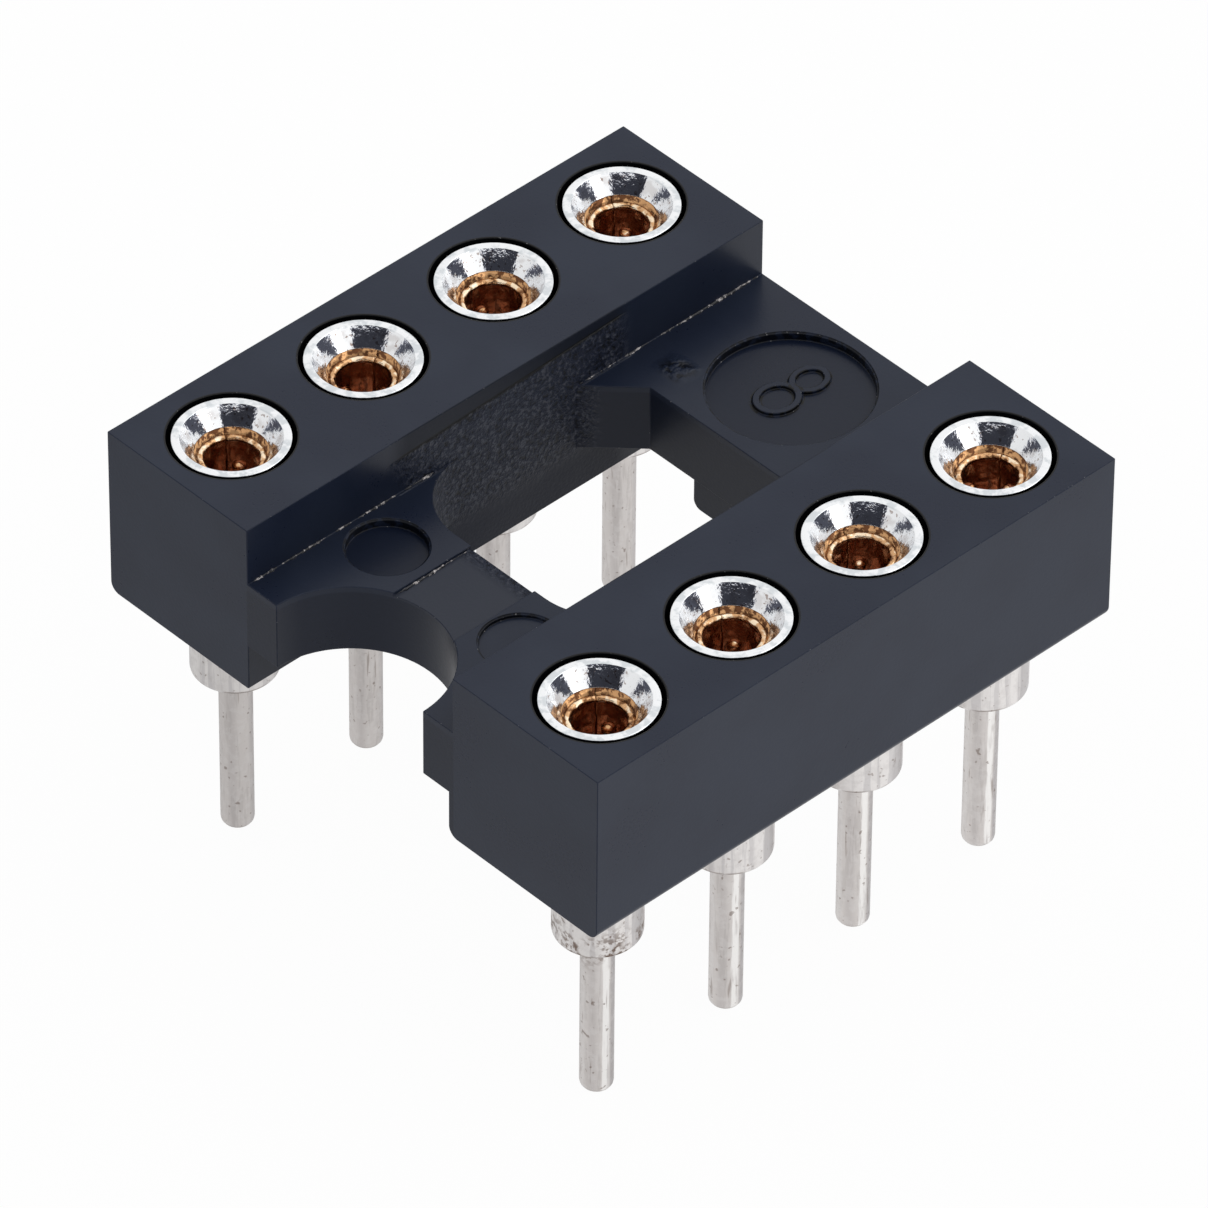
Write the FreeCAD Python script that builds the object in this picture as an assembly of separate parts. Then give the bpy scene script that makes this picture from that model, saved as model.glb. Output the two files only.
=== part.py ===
import FreeCAD, Part
import math
import os

# Open-frame dual in-line socket with eight turned contacts, in millimetres.
# X runs across the two rails, Y along them with the notched end at -Y, and Z is up.
# The origin is the middle of the box's bottom face, level with the tail tips.

# Contact grid
pitch = 2.54
row_spacing = 7.62
contacts_per_rail = 4

# Moulded rails, measured from the outer contacts' axes and from the rails' underside
end_margin = 1.23
outer_margin = 1.27
inner_margin = 1.68
rail_height = 2.98
left_foot_round = 0.04
right_foot_round = 0.18
right_foot_step = 0.08
outer_foot_round = 0.17
far_end_round = 0.17

# Crossbars that tie the rails together
crossbar_rise = 0.81
crossbar_thickness = 1.17
near_crossbar_depth = 2.89
far_crossbar_depth = 2.95
notch_radius = 1.52
window_fillet = 1.20
window_chamfer = 0.75

# Bare panel sunk into the near crossbar, and the marks that the ejector pins left
panel_width = 1.32
panel_offset = 0.06
panel_depth = 0.06
near_mark_radius = 0.60
near_mark_offset = 1.39
near_mark_setback = 0.89
left_mark_depth = 0.14
right_mark_depth = 0.07
far_mark_radius = 1.24
far_mark_depth = 0.14

# Moulding stub that hangs under the middle of the far crossbar
stub_width = 1.00
stub_depth = 0.90
stub_drop = 0.55
stub_setback = 0.04
stub_round = 0.15

# Contact clip: a collar with a bevelled mouth and four fingers that close towards their tips
mouth_diameter = 0.80
collar_wall = 0.16
collar_height = 0.90
finger_length = 1.20
finger_opening = 0.32
finger_tip_wall = 0.08
finger_count = 4
slot_width = 0.14
slot_root = 0.08

# Turned sleeve whose drilled bore grips the collar
bore_end_gap = 0.35
drill_point_degrees = 118.0
sleeve_wall = 0.10
head_overhang = 0.21
head_height = 0.60
rim_width = 0.125
funnel_depth = 0.25
barb_rise = 0.06
barb_height = 0.32
barb_level = 1.00
barrel_drop = 1.38
barrel_chamfer = 0.08
tail_diameter = 0.50
tail_length = 3.00
tail_tip_chamfer = 0.12

# Fit of the sleeve in the rail
head_recess = 0.06
head_gap = 0.07
barb_gap = 0.01

# Radii that follow from the sizes above
mouth_radius = mouth_diameter / 2
collar_radius = mouth_radius + collar_wall
barrel_radius = collar_radius + sleeve_wall
head_radius = barrel_radius + head_overhang
barb_radius = barrel_radius + barb_rise
tail_radius = tail_diameter / 2

# Heights that follow, counted from the tail tips
shoulder_z = tail_length
rail_bottom_z = shoulder_z + barrel_drop
rail_top_z = rail_bottom_z + rail_height
crossbar_bottom_z = rail_bottom_z + crossbar_rise
crossbar_top_z = crossbar_bottom_z + crossbar_thickness
rim_z = rail_top_z - head_recess
head_seat_z = rim_z - head_height
collar_top_z = rim_z - funnel_depth
collar_end_z = collar_top_z - collar_height
finger_tip_z = collar_end_z - finger_length
bore_end_z = finger_tip_z - bore_end_gap

# Plan sizes that follow
half_width = row_spacing / 2 + outer_margin
rail_inner_x = row_spacing / 2 - inner_margin
half_length = (contacts_per_rail - 1) * pitch / 2 + end_margin
near_edge_y = near_crossbar_depth - half_length
far_edge_y = half_length - far_crossbar_depth

# A cutter reaches this far past the faces that it opens
cutter_overrun = 1.0

# Two points closer than this are one
same_point = 1e-7

# A window corner takes at most this share of the window's shorter side
corner_share = 0.45


def section_point(across, up):
    """Places a section's point on the XZ plane."""
    return FreeCAD.Vector(across, 0, up)


def side_point(along, up):
    """Places a section's point on the YZ plane."""
    return FreeCAD.Vector(0, along, up)


def plan_point(across, along):
    """Places an outline's point on the XY plane."""
    return FreeCAD.Vector(across, along, 0)


def rounded_face(corners, place):
    """Closes corners (a, b, radius) into a face; a corner whose radius is above zero becomes an arc."""
    points = [place(a, b) for a, b, radius in corners]
    ends = []
    arcs = []
    for index, (a, b, radius) in enumerate(corners):
        point = points[index]
        if radius <= 0:
            ends.append((point, point))
            arcs.append(None)
            continue
        back = (points[index - 1] - point).normalize()
        ahead = (points[(index + 1) % len(points)] - point).normalize()
        half_angle = back.getAngle(ahead) / 2
        setback = radius / math.tan(half_angle)
        inward = (back + ahead).normalize()
        start = point + back * setback
        end = point + ahead * setback
        middle = point + inward * (radius / math.sin(half_angle) - radius)
        ends.append((start, end))
        arcs.append(Part.Arc(start, middle, end).toShape())
    edges = []
    for index, (start, end) in enumerate(ends):
        previous_end = ends[index - 1][1]
        if previous_end.distanceToPoint(start) > same_point:
            edges.append(Part.LineSegment(previous_end, start).toShape())
        if arcs[index] is not None:
            edges.append(arcs[index])
    return Part.Face(Part.Wire(Part.sortEdges(edges)[0]))


def turned(corners):
    """Turns a half section (radius, height, rounding) about the Z axis."""
    face = rounded_face(corners, section_point)
    return face.revolve(FreeCAD.Vector(0, 0, 0), FreeCAD.Vector(0, 0, 1), 360)


def contact_places():
    """Gives the contacts' axes in numbering order: up the +X rail, then back down the -X rail."""
    steps = [(index - (contacts_per_rail - 1) / 2) * pitch for index in range(contacts_per_rail)]
    right = [(row_spacing / 2, y) for y in steps]
    left = [(-row_spacing / 2, y) for y in reversed(steps)]
    return right + left


def rail(side, foot_step, foot_round):
    """Extrudes one rail along Y; side is +1 or -1, and its inner wall steps in under the crossbars."""
    foot_x = rail_inner_x - foot_step
    corners = [
        (side * rail_inner_x, rail_top_z, 0),
        (side * rail_inner_x, crossbar_bottom_z, 0),
        (side * foot_x, crossbar_bottom_z, 0),
        (side * foot_x, rail_bottom_z, foot_round),
        (side * half_width, rail_bottom_z, outer_foot_round),
        (side * half_width, rail_top_z, 0),
    ]
    solid = rounded_face(corners, section_point).extrude(FreeCAD.Vector(0, 2 * half_length, 0))
    solid.translate(FreeCAD.Vector(0, -half_length, 0))
    return solid


def window_cutter():
    """Opening between the crossbars: rounded corners at the near end, cut corners at the far end."""
    largest_corner = corner_share * min(far_edge_y - near_edge_y, 2 * rail_inner_x)
    fillet = min(window_fillet, largest_corner)
    chamfer = min(window_chamfer, largest_corner)
    corners = [
        (-rail_inner_x, near_edge_y, fillet),
        (rail_inner_x, near_edge_y, fillet),
        (rail_inner_x, far_edge_y - chamfer, 0),
        (rail_inner_x - chamfer, far_edge_y, 0),
        (chamfer - rail_inner_x, far_edge_y, 0),
        (-rail_inner_x, far_edge_y - chamfer, 0),
    ]
    solid = rounded_face(corners, plan_point).extrude(FreeCAD.Vector(0, 0, crossbar_thickness))
    solid.translate(FreeCAD.Vector(0, 0, crossbar_bottom_z))
    return solid


def crossbar_web():
    """Both crossbars with the corner fillings of the window, and the notch in the near end."""
    web = Part.makeBox(2 * rail_inner_x, 2 * half_length, crossbar_thickness)
    web.translate(FreeCAD.Vector(-rail_inner_x, -half_length, crossbar_bottom_z))
    notch_base = FreeCAD.Vector(0, -half_length, crossbar_bottom_z)
    notch = Part.makeCylinder(notch_radius, crossbar_thickness, notch_base)
    return web.cut(window_cutter()).cut(notch)


def moulding_stub():
    """Short rounded stub under the far crossbar, set back a little from its inner face."""
    corners = [
        (-stub_width / 2, crossbar_bottom_z, 0),
        (-stub_width / 2, crossbar_bottom_z - stub_drop, stub_round),
        (stub_width / 2, crossbar_bottom_z - stub_drop, stub_round),
        (stub_width / 2, crossbar_bottom_z, 0),
    ]
    solid = rounded_face(corners, section_point).extrude(FreeCAD.Vector(0, stub_depth, 0))
    solid.translate(FreeCAD.Vector(0, far_edge_y + stub_setback, 0))
    return solid


def top_marks():
    """Shallow recesses in the crossbars' tops: the bare panel and the ejector marks."""
    panel = Part.makeBox(panel_width, near_crossbar_depth, panel_depth)
    panel.translate(FreeCAD.Vector(panel_offset - panel_width / 2, -half_length, crossbar_top_z - panel_depth))
    near_mark_y = near_edge_y - near_mark_setback
    far_mark_y = half_length - far_crossbar_depth / 2
    discs = [
        (-near_mark_offset, near_mark_y, near_mark_radius, left_mark_depth),
        (near_mark_offset, near_mark_y, near_mark_radius, right_mark_depth),
        (0, far_mark_y, far_mark_radius, far_mark_depth),
    ]
    marks = [panel]
    for x, y, radius, depth in discs:
        marks.append(Part.makeCylinder(radius, depth, FreeCAD.Vector(x, y, crossbar_top_z - depth)))
    return marks


def contact_hole(x, y):
    """Stepped hole for one sleeve: a wide seat for its head and a narrower way for its barb."""
    seat_depth = rail_top_z - head_seat_z
    seat = Part.makeCylinder(head_radius + head_gap, seat_depth, FreeCAD.Vector(x, y, head_seat_z))
    way = Part.makeCylinder(barb_radius + barb_gap, rail_height, FreeCAD.Vector(x, y, rail_bottom_z))
    return seat.fuse(way)


def far_end_envelope():
    """Side outline of the housing, whose lower far edge is rounded."""
    corners = [
        (-half_length, rail_top_z, 0),
        (-half_length, rail_bottom_z, 0),
        (half_length, rail_bottom_z, far_end_round),
        (half_length, rail_top_z, 0),
    ]
    solid = rounded_face(corners, side_point).extrude(FreeCAD.Vector(2 * half_width, 0, 0))
    solid.translate(FreeCAD.Vector(-half_width, 0, 0))
    return solid


def housing():
    """One moulding: two rails, the crossbars between them and a stepped hole for each contact."""
    right_rail = rail(1, right_foot_step, right_foot_round)
    left_rail = rail(-1, 0, left_foot_round)
    body = right_rail.fuse([left_rail, crossbar_web(), moulding_stub()])
    body = body.common(far_end_envelope())
    holes = [contact_hole(x, y) for x, y in contact_places()]
    return body.cut(top_marks() + holes).removeSplitter()


def contact_sleeve():
    """Turned sleeve on the Z axis: funnelled head, barbed barrel, blind bore and solder tail."""
    drill_point = collar_radius / math.tan(math.radians(drill_point_degrees / 2))
    barb_z = rail_bottom_z + barb_level
    corners = [
        (0, bore_end_z - drill_point, 0),
        (collar_radius, bore_end_z, 0),
        (collar_radius, collar_top_z, 0),
        (head_radius - rim_width, rim_z, 0),
        (head_radius, rim_z, 0),
        (head_radius, head_seat_z, 0),
        (barrel_radius, head_seat_z, 0),
        (barrel_radius, barb_z + barb_height, 0),
        (barb_radius, barb_z + barb_height, 0),
        (barrel_radius, barb_z, 0),
        (barrel_radius, shoulder_z + barrel_chamfer, 0),
        (barrel_radius - barrel_chamfer, shoulder_z, 0),
        (tail_radius, shoulder_z, 0),
        (tail_radius, tail_tip_chamfer, 0),
        (tail_radius - tail_tip_chamfer, 0, 0),
        (0, 0, 0),
    ]
    return turned(corners)


def contact_clip():
    """Collar with a bevelled mouth, and fingers that close and thin out towards their tips."""
    grip_radius = finger_opening / 2
    corners = [
        (mouth_radius, collar_top_z - collar_wall, 0),
        (collar_radius, collar_top_z, 0),
        (collar_radius, collar_end_z, 0),
        (grip_radius + finger_tip_wall, finger_tip_z, 0),
        (grip_radius, finger_tip_z, 0),
        (mouth_radius, collar_end_z, 0),
    ]
    clip = turned(corners)
    slot_top_z = collar_end_z - slot_root
    slot = Part.makeBox(collar_radius, slot_width, slot_top_z - finger_tip_z + cutter_overrun)
    slot.translate(FreeCAD.Vector(0, -slot_width / 2, finger_tip_z - cutter_overrun))
    slots = []
    for index in range(finger_count):
        turn = 360 * (index + 0.5) / finger_count
        slots.append(slot.rotated(FreeCAD.Vector(0, 0, 0), FreeCAD.Vector(0, 0, 1), turn))
    return clip.cut(slots)


def write_part(name, shape):
    """Writes one sub-part as a STEP file named after it."""
    shape.exportStep("parts/" + name + ".step")


os.makedirs("parts", exist_ok=True)
write_part("housing", housing())
sleeve = contact_sleeve()
clip = contact_clip()
for number, (x, y) in enumerate(contact_places(), start=1):
    place = FreeCAD.Vector(x, y, 0)
    write_part("contact_sleeve_" + str(number), sleeve.translated(place))
    write_part("contact_clip_" + str(number), clip.translated(place))
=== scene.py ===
import logging
import math
import random
from dataclasses import dataclass, field
from enum import Enum
from typing import Mapping, Sequence, Union

import bmesh
import bpy
from mathutils import Matrix, Vector


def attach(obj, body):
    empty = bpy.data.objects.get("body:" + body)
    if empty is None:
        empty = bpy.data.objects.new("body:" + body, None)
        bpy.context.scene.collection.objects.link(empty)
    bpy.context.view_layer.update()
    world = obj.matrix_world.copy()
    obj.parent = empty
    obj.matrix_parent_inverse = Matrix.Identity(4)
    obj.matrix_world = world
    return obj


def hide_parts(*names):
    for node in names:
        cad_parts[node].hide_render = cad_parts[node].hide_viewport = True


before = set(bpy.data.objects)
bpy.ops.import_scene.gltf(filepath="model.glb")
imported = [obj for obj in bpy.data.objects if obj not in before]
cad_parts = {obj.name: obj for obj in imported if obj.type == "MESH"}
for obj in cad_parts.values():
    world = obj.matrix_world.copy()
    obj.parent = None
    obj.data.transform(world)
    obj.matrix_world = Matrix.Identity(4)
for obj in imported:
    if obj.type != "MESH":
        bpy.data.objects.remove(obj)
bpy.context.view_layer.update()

# The looks of an open-frame dual in-line IC socket. Meshes are built in millimetres in the part's own frame
# and scaled to metres when they are finished.

MM = 0.001
TINY = 1e-6
WELD = 1e-4
FLAT_ANGLE = 0.5
WHITE = (1.0, 1.0, 1.0, 1.0)
log = logging.getLogger("ic_socket")

Colour = tuple[float, float, float]
Point = tuple[float, float]
Profile = Sequence[Point]

# Sizes that pieces and finishes share. A mark is its middle, radius and depth; a ring of the figure is its
# middle and its half widths across and along the rails.

PITCH = 2.54
ROW_SPACING = 7.62
WALL_X = 2.13
BAR_TOP = 6.36
SEAT_RADIUS = 0.94
RIM_Z = 7.34
LIP_Z = 6.93
SHOULDER_Z = 3.00
MOUTH = 0.40
EJECTOR_MARKS = ((-1.39, -3.04, 0.60, 0.14), (1.39, -3.04, 0.60, 0.07), (0.0, 3.565, 1.24, 0.14))
FIGURE_RINGS = ((-0.060, 3.350, 0.285, 0.330), (-0.045, 3.985, 0.230, 0.280))


class Joining(Enum):
    """How one closed mesh works on another."""

    UNITE = "UNION"
    CARVE = "DIFFERENCE"
    TRIM = "INTERSECT"


class Plane(Enum):
    """Plane that an outline is drawn on; its value places (a, b) in space."""

    PLAN = "xy"
    SECTION = "xz"
    SIDE = "yz"

    def place(self, a: float, b: float) -> Vector:
        """Gives the point (a, b) of this plane in space."""
        return {"xy": Vector((a, b, 0)), "xz": Vector((a, 0, b)), "yz": Vector((0, a, b))}[self.value]

    def normal(self) -> Vector:
        """Gives the axis that this plane stands across."""
        return {"xy": Vector((0, 0, 1)), "xz": Vector((0, 1, 0)), "yz": Vector((1, 0, 0))}[self.value]


# Node arithmetic


class Value:
    """A socket that carries numbers; arithmetic on it adds Math nodes."""

    def __init__(self, recipe: "Recipe", socket: bpy.types.NodeSocket) -> None:
        """Wraps a socket of the recipe's tree."""
        self.recipe = recipe
        self.socket = socket

    def _math(self, operation: str, first: "Term", second: "Term" = 0.0) -> "Value":
        """Adds one Math node.

        Args:
            operation: the Math node's operation.
            first: the first term.
            second: the second term, where the operation has one.

        Returns:
            The node's result.
        """
        node = self.recipe.node("ShaderNodeMath", {"operation": operation}, {0: first, 1: second})
        return Value(self.recipe, node.outputs[0])

    def __add__(self, other: "Term") -> "Value":
        """Adds."""
        return self._math("ADD", self, other)

    def __radd__(self, other: "Term") -> "Value":
        """Adds to a number."""
        return self._math("ADD", other, self)

    def __sub__(self, other: "Term") -> "Value":
        """Subtracts."""
        return self._math("SUBTRACT", self, other)

    def __rsub__(self, other: "Term") -> "Value":
        """Subtracts from a number."""
        return self._math("SUBTRACT", other, self)

    def __mul__(self, other: "Term") -> "Value":
        """Multiplies."""
        return self._math("MULTIPLY", self, other)

    def __rmul__(self, other: "Term") -> "Value":
        """Multiplies a number."""
        return self._math("MULTIPLY", other, self)

    def __truediv__(self, other: "Term") -> "Value":
        """Divides."""
        return self._math("DIVIDE", self, other)

    def __abs__(self) -> "Value":
        """Drops the sign."""
        return self._math("ABSOLUTE", self)

    def angle_from(self, other: "Term") -> "Value":
        """Gives the angle whose tangent is this value over the other."""
        return self._math("ARCTAN2", self, other)

    def root(self) -> "Value":
        """Takes the square root."""
        return self._math("SQRT", self)

    def zigzag(self, size: float) -> "Value":
        """Folds the value back and forth between 0 and size."""
        return self._math("PINGPONG", self, size)

    def ramp(self, low: float, high: float) -> "Value":
        """Rises smoothly from 0 at low to 1 at high, or falls where low is the larger.

        Args:
            low: the value that gives 0.
            high: the value that gives 1.

        Returns:
            A value from 0 to 1.
        """
        ends = (low, high, 0.0, 1.0) if low < high else (high, low, 1.0, 0.0)
        node = self.recipe.node("ShaderNodeMapRange", {"interpolation_type": "SMOOTHSTEP"}, {
            0: self, "From Min": ends[0], "From Max": ends[1], "To Min": ends[2], "To Max": ends[3]})
        return Value(self.recipe, node.outputs[0])


Term = Union[Value, float, bpy.types.NodeSocket]


def distance(across: Value, along: Value) -> Value:
    """Gives how far a point is from the origin of its plane."""
    return (across * across + along * along).root()


def total(values: Sequence[Value]) -> Value:
    """Adds values up."""
    return sum(values[1:], start=values[0])


class Recipe:
    """A node tree that is filled by method calls."""

    def __init__(self, tree: bpy.types.NodeTree, output: str = "ShaderNodeOutputMaterial") -> None:
        """Takes over a tree and empties it.

        Args:
            tree: the tree.
            output: the type of the node that ends it.
        """
        self.tree = tree
        self.output = output
        tree.nodes.clear()

    @classmethod
    def material(cls, name: str) -> tuple["Recipe", bpy.types.Material]:
        """Makes a material.

        Args:
            name: its name.

        Returns:
            The recipe that fills it, and the material.
        """
        made = bpy.data.materials.new(name)
        made.use_nodes = True
        return cls(made.node_tree), made

    def node(self, kind: str, settings: Mapping[str, object] | None = None,
             inputs: Mapping[int | str, object] | None = None) -> bpy.types.Node:
        """Adds a node.

        Args:
            kind: the node's type name.
            settings: its own properties, such as an operation, which are set first.
            inputs: socket name or number to a value, a socket or a Value.

        Returns:
            The node.
        """
        made = self.tree.nodes.new(kind)
        for name, setting in (settings or {}).items():
            setattr(made, name, setting)
        for name, given in (inputs or {}).items():
            source = given.socket if isinstance(given, Value) else given
            if isinstance(source, bpy.types.NodeSocket):
                self.tree.links.new(source, made.inputs[name])
            else:
                made.inputs[name].default_value = source
        return made

    def value(self, kind: str, settings: Mapping[str, object] | None = None,
              inputs: Mapping[int | str, object] | None = None, output: int | str = 0) -> Value:
        """Adds a node and wraps one of its outputs."""
        return Value(self, self.node(kind, settings, inputs).outputs[output])

    def stretched(self, vector: bpy.types.NodeSocket, scale: Colour) -> bpy.types.NodeSocket:
        """Multiplies a vector along each axis."""
        return self.node("ShaderNodeVectorMath", {"operation": "MULTIPLY"}, {0: vector, 1: scale}).outputs[0]

    def place(self) -> bpy.types.NodeSocket:
        """Gives the object's own coordinates in millimetres."""
        return self.stretched(self.node("ShaderNodeTexCoord").outputs["Object"], (1 / MM, 1 / MM, 1 / MM))

    def world_place(self) -> bpy.types.NodeSocket:
        """Gives the place in the part's frame in millimetres, which differs from one contact to the next."""
        return self.stretched(self.node("ShaderNodeNewGeometry").outputs["Position"], (1 / MM, 1 / MM, 1 / MM))

    def split(self, vector: bpy.types.NodeSocket) -> tuple[Value, Value, Value]:
        """Splits a vector into its three values."""
        parts = self.node("ShaderNodeSeparateXYZ", None, {0: vector}).outputs
        return Value(self, parts[0]), Value(self, parts[1]), Value(self, parts[2])

    def noise(self, vector: bpy.types.NodeSocket, size: float, detail: float = 2.0, rough: float = 0.5) -> Value:
        """Gives cloudy noise whose blobs measure about size, in the vector's own unit."""
        return self.value("ShaderNodeTexNoise", {"noise_dimensions": "3D"}, {
            "Vector": vector, "Scale": 1 / size, "Detail": detail, "Roughness": rough})

    def stripes(self, along: Value, scale: float) -> Value:
        """Gives cloudy noise that changes along one value only."""
        return self.value("ShaderNodeTexNoise", {"noise_dimensions": "1D"}, {
            "W": along, "Scale": scale, "Detail": 2.0})

    def mix(self, amount: Term, low: object, high: object) -> bpy.types.NodeSocket:
        """Mixes two colours, each four numbers or a socket."""
        settings = {"data_type": "RGBA", "clamp_factor": True}
        return self.node("ShaderNodeMix", settings, {0: amount, 6: low, 7: high}).outputs[2]

    def layers(self, tone: bpy.types.NodeSocket, coats: Sequence[tuple[Term, Colour]]) -> bpy.types.NodeSocket:
        """Lays colours over a tone.

        Args:
            tone: what lies below.
            coats: each coat's amount and colour, from the lowest up.

        Returns:
            The tone of all of them.
        """
        for amount, colour in coats:
            tone = self.mix(amount, tone, paint(colour))
        return tone

    def bump(self, height: Value) -> bpy.types.NodeSocket:
        """Turns a height in millimetres into a normal."""
        return self.node("ShaderNodeBump", None, {"Height": height, "Distance": MM, "Strength": 1.0}).outputs[0]

    def rays(self) -> tuple[Value, Value]:
        """Tells what kind of ray meets the surface.

        Returns:
            1 for rays from the camera, and 1 for rays that are mirrored or let through.
        """
        path = self.node("ShaderNodeLightPath").outputs
        camera, glossy, through = (Value(self, path[name]) for name in (
            "Is Camera Ray", "Is Glossy Ray", "Is Transmission Ray"))
        return camera, glossy + through

    def surface(self, shader: bpy.types.NodeSocket) -> None:
        """Joins a shader to the tree's output."""
        self.node(self.output, None, {"Surface": shader})

    def dress(self, tone: bpy.types.NodeSocket, roughness: Term, height: Value,
              fixed: Mapping[str, float]) -> None:
        """Ends the tree in a principled shader.

        Args:
            tone: its base colour.
            roughness: its roughness.
            height: its relief, in millimetres.
            fixed: its sockets that are the same all over the surface.
        """
        self.surface(self.node("ShaderNodeBsdfPrincipled", None, {
            "Base Color": tone, "Roughness": roughness, "Normal": self.bump(height), **fixed}).outputs[0])


def paint(colour: Colour) -> tuple[float, float, float, float]:
    """Adds full alpha to a colour."""
    return (*colour, 1.0)


# Finishes


@dataclass(frozen=True)
class MouldedPlastic:
    """Black glass-filled thermoplastic, a little blue, with crisp edges in pale specks, part wear and part painted
    glint, and painted shade between the rails, round the holes and along the marks.
    """

    slot: str = "black_moulding"
    deep: Colour = (0.0120, 0.0175, 0.0360)
    pale: Colour = (0.0180, 0.0250, 0.0455)
    wall_shade_tone: Colour = (0.0045, 0.0082, 0.0215)
    shade_black: Colour = (0.0020, 0.0022, 0.0030)
    matt: Colour = (0.0260, 0.0310, 0.0470)
    wear_and_glint: Colour = (0.30, 0.30, 0.31)
    eroded_tone: Colour = (0.0150, 0.0200, 0.0400)
    wall_foot_shade: Colour = (0.0012, 0.0032, 0.0140)
    fibre: Colour = (0.098, 0.104, 0.128)
    roughness: float = 0.31
    specular: float = 0.24
    grain: float = 0.05
    grain_depth: float = 0.0012
    wall_grain_depth: float = 0.004
    pit: float = 0.075
    pit_depth: float = 0.075
    line_z: float = 7.08
    line_rise: float = 0.045
    panel_x: float = 0.06
    panel_half_width: float = 0.66
    panel_z: float = 6.30
    smear_at: Point = (-1.42, 2.66)
    smear_depth: float = 0.08
    shade_outline_gap: float = 0.010
    stroke_half_width: float = 0.22

    def shade_outlines(self, x: Value, y: Value, z: Value) -> Value:
        """Marks lines of painted shade round the ejector marks and along both sides of the figure's strokes.

        Args:
            x: place across the rails.
            y: place along the rails.
            z: height.

        Returns:
            How much of a line there is.
        """
        lines = []
        for mark_x, mark_y, radius, _ in EJECTOR_MARKS:
            away = abs(distance(x - mark_x, y - mark_y) - (radius + self.shade_outline_gap))
            lines.append(away.ramp(0.028, 0.014) * 0.8)
        for ring_x, ring_y, across, along in FIGURE_RINGS:
            away = abs(distance((x - ring_x) / across, (y - ring_y) / along) - 1.0)
            lines.append(abs(away - self.stroke_half_width).ramp(0.100, 0.060))
        return total(lines) * z.ramp(BAR_TOP - 0.20, BAR_TOP - 0.16) * z.ramp(BAR_TOP + 0.01, BAR_TOP)

    def material(self) -> bpy.types.Material:
        """Builds the material: cloudy tone, fine grain, rough eroded window walls, specked edges and painted
        shade.

        Returns:
            The material.
        """
        recipe, made = Recipe.material("black_moulding")
        place = recipe.place()
        x, y, z = recipe.split(place)
        clouds = recipe.noise(place, 1.6, 3.0)
        fine = recipe.noise(place, self.grain, 2.0)
        specks = recipe.noise(place, 0.035, 1.0).ramp(0.70, 0.78)
        edge = recipe.value("ShaderNodeAttribute", {"attribute_name": "edge"}, None, "Fac")
        # The rails' inner walls between the crossbars, and the rounded corners beside them
        between = abs(x).ramp(WALL_X + 0.03, WALL_X + 0.01)
        flush = abs(x).ramp(WALL_X - 0.06, WALL_X - 0.03)
        corner = z.ramp(BAR_TOP, BAR_TOP - 0.02) * abs(y + 0.4).ramp(2.05, 1.75)
        stretch = (abs(y - 0.10) + (clouds - 0.5) * 0.6).ramp(2.40, 1.95)
        rail_wall = between * (flush * stretch + (1 - flush) * corner)
        above_line = z - (y * self.line_rise + self.line_z)
        on_wall = rail_wall * above_line.ramp(0.02, -0.02)
        # A dark line along the parting line, and painted shade on the rail wall above it
        wall_line_and_shade = rail_wall * (abs(above_line).ramp(0.055, 0.020) * 0.8 + above_line.ramp(-0.02, 0.02) * 0.45)
        pits = recipe.noise(place, self.pit, 3.0, 0.6)
        eroded = on_wall * z.ramp(4.90, 5.60)
        # Painted shade between the rails: strongest below the crossbars' tops, lighter on those tops and on the
        # walls above them
        wall_shade = between * (0.8 - z.ramp(BAR_TOP - 0.12, BAR_TOP - 0.08) * 0.60)
        # Painted shade in the gap round each contact hole and along the marks, the sunk panel and a shaded blemish
        hole_gap_shade = distance(abs(x) - ROW_SPACING / 2, PITCH / 2 - y.zigzag(PITCH / 2)).ramp(
            SEAT_RADIUS + 0.034, SEAT_RADIUS + 0.017)
        panel = (abs(x - self.panel_x).ramp(self.panel_half_width + 0.01, self.panel_half_width - 0.01)
                 * y.ramp(-2.0, -2.1) * z.ramp(self.panel_z - 0.04, self.panel_z - 0.01)
                 * z.ramp(self.panel_z + 0.03, self.panel_z + 0.01))
        # Lines of painted shade round the marks and the figure, broken by noise
        lines = self.shade_outlines(x, y, z) * recipe.noise(place, 0.12, 1.0).ramp(0.40, 0.50)
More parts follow.
